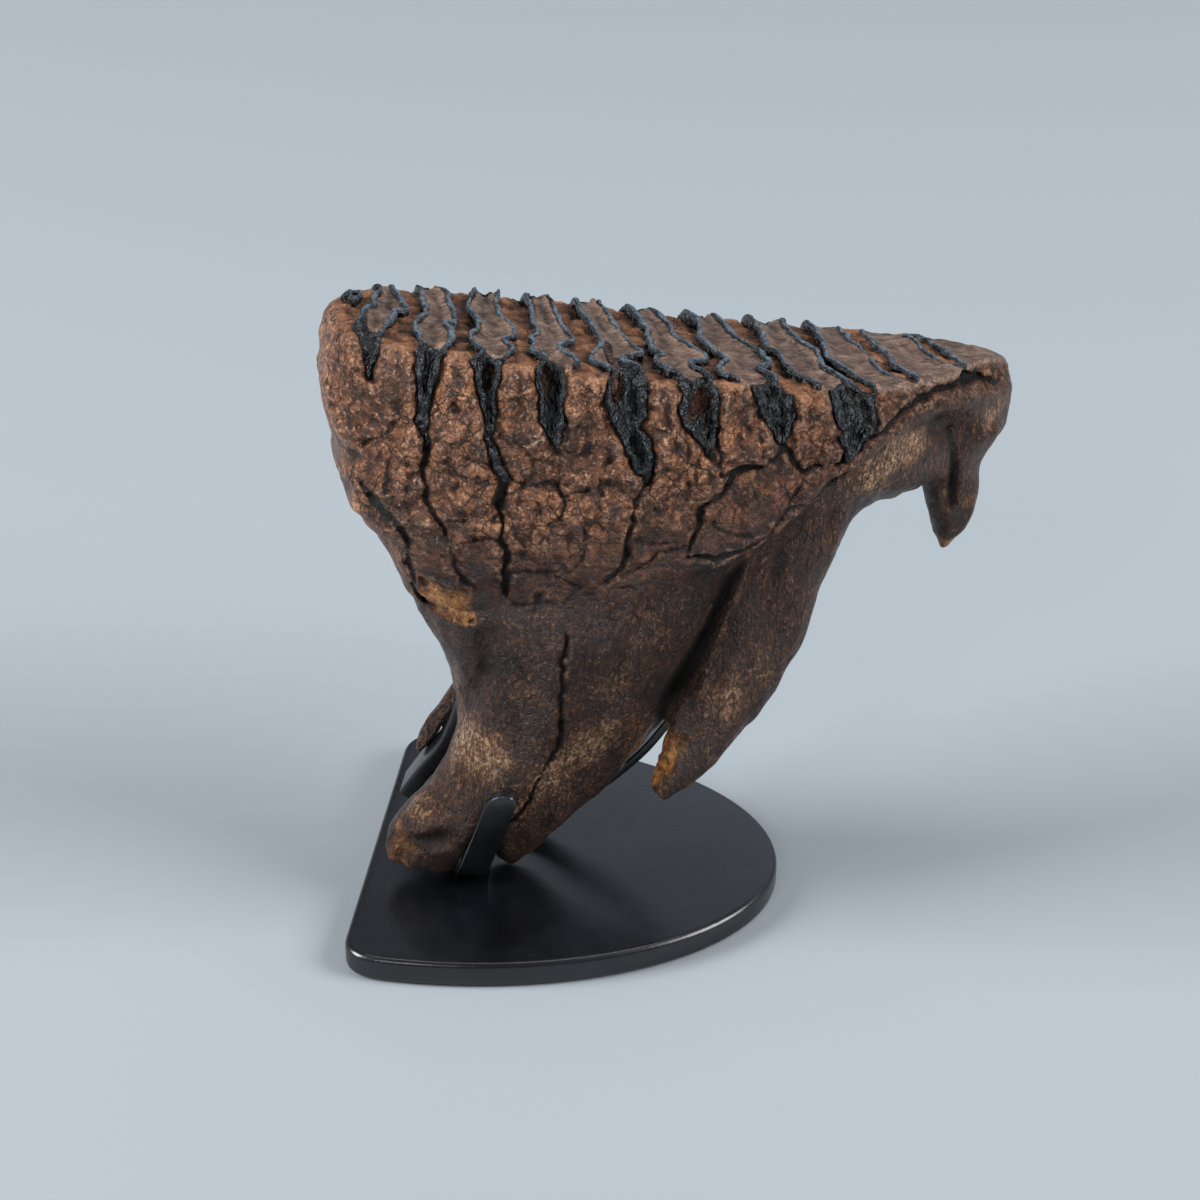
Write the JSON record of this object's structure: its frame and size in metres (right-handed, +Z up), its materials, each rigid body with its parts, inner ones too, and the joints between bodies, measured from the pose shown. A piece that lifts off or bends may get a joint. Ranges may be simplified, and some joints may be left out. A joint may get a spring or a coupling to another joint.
{
  "type": "fossil mammoth molar on a museum stand",
  "caption": "Worn fossil mammoth cheek tooth with ridged chewing surface and long roots, held upright by bent black steel strips on a flat round-nosed plate.",
  "frame": {"origin": "middle of the stand plate's underside, halfway between its straight edge and the tip of its round nose", "axes": "+Z up, +X from the plate's straight edge to its round nose, +Y from the front of the display to its back"},
  "size_m": [0.193, 0.1307, 0.1875],
  "materials": {
    "crown": "mineralised tooth cement, cracked and rough, with glossy blue-black enamel ridges",
    "root": "mineralised root, smooth and dark with a fibrous grain",
    "stand": "satin black powder coat on steel"
  },
  "bodies": {
    "root": {"crown": "crown", "root_left_lobe": "root", "root_right_lobe": "root", "root_long": "root", "root_end": "root", "root_back": "root", "stand_plate": "stand", "stand_arm_front": "stand", "stand_arm_right": "stand", "stand_arm_left": "stand", "stand_post": "stand"}
  },
  "joints": []
}
